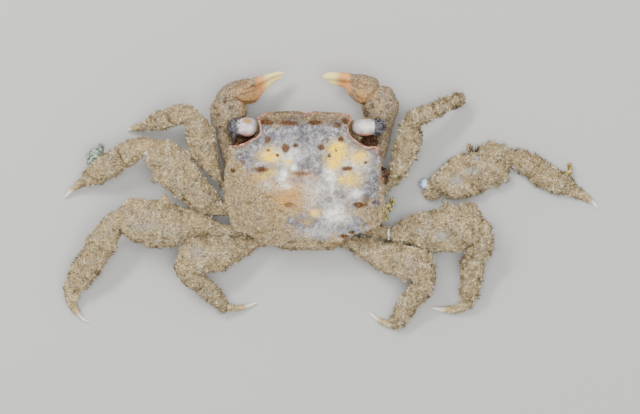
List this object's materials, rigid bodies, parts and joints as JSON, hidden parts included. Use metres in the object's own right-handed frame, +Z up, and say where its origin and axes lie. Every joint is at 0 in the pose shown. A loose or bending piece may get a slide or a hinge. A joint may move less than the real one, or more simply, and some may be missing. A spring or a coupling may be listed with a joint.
{
  "type": "preserved crab",
  "caption": "Preserved square-backed crab with a silt-coated shell and spread legs, one leg broken off and lying beside the body.",
  "frame": {"origin": "flat middle of the folded tail flap, where the belly rests on the surface, under the middle of the back shield", "axes": "+X towards the specimen's side with the broken-off leg, +Y forward out of the crab's front, +Z up out of its back"},
  "size_m": [0.0726, 0.0349, 0.0098],
  "materials": {
    "silt_coat": "short hairs loaded with dried tan silt",
    "shield_shell": "silt over bluish shell with yellow, white and brown blotches",
    "claw_shell": "tan orange shell with brown spots and a thin silt film",
    "claw_tip": "smooth pink shell fading to a cream tip",
    "belly_shell": "bare pale tan shell with a silt film",
    "eye_stalk": "wet glossy lilac white stalk with a dark cloudy eye",
    "flesh_bead": "wet glossy bluish flesh",
    "dactyl_shell": "smooth tan shell with a translucent pale tip"
  },
  "bodies": {
    "root": {"abdomen": "belly_shell", "carapace": "shield_shell", "claw_left_arm": "claw_shell", "claw_left_finger": "claw_tip", "claw_left_hip": "claw_shell", "claw_left_palm": "claw_shell", "claw_left_wrist": "claw_shell", "claw_right_arm": "claw_shell", "claw_right_finger": "claw_tip", "claw_right_hip": "claw_shell", "claw_right_palm": "claw_shell", "claw_right_wrist": "claw_shell", "eye_left": "eye_stalk", "eye_right": "eye_stalk", "leg_left_1_carpus": "silt_coat", "leg_left_1_dactyl": "dactyl_shell", "leg_left_1_hip": "silt_coat", "leg_left_1_merus": "silt_coat", "leg_left_1_propodus": "silt_coat", "leg_left_2_carpus": "silt_coat", "leg_left_2_dactyl": "dactyl_shell", "leg_left_2_hip": "silt_coat", "leg_left_2_merus": "silt_coat", "leg_left_2_propodus": "silt_coat", "leg_left_3_carpus": "silt_coat", "leg_left_3_dactyl": "dactyl_shell", "leg_left_3_hip": "silt_coat", "leg_left_3_merus": "silt_coat", "leg_left_3_propodus": "silt_coat", "leg_left_4_carpus": "silt_coat", "leg_left_4_dactyl": "dactyl_shell", "leg_left_4_hip": "silt_coat", "leg_left_4_merus": "silt_coat", "leg_left_4_propodus": "silt_coat", "leg_right_1_carpus": "silt_coat", "leg_right_1_hip": "silt_coat", "leg_right_1_merus": "silt_coat", "leg_right_1_propodus": "silt_coat", "leg_right_2_carpus": "silt_coat", "leg_right_2_dactyl": "dactyl_shell", "leg_right_2_flesh_bead": "flesh_bead", "leg_right_2_ischium": "silt_coat", "leg_right_2_merus": "silt_coat", "leg_right_2_propodus": "silt_coat", "leg_right_2_stump": "silt_coat", "leg_right_3_carpus": "silt_coat", "leg_right_3_dactyl": "dactyl_shell", "leg_right_3_hip": "silt_coat", "leg_right_3_merus": "silt_coat", "leg_right_3_propodus": "silt_coat", "leg_right_4_carpus": "silt_coat", "leg_right_4_dactyl": "dactyl_shell", "leg_right_4_hip": "silt_coat", "leg_right_4_merus": "silt_coat", "leg_right_4_propodus": "silt_coat", "maxilliped_left": "belly_shell", "maxilliped_right": "belly_shell", "sternum": "belly_shell"}
  },
  "joints": []
}
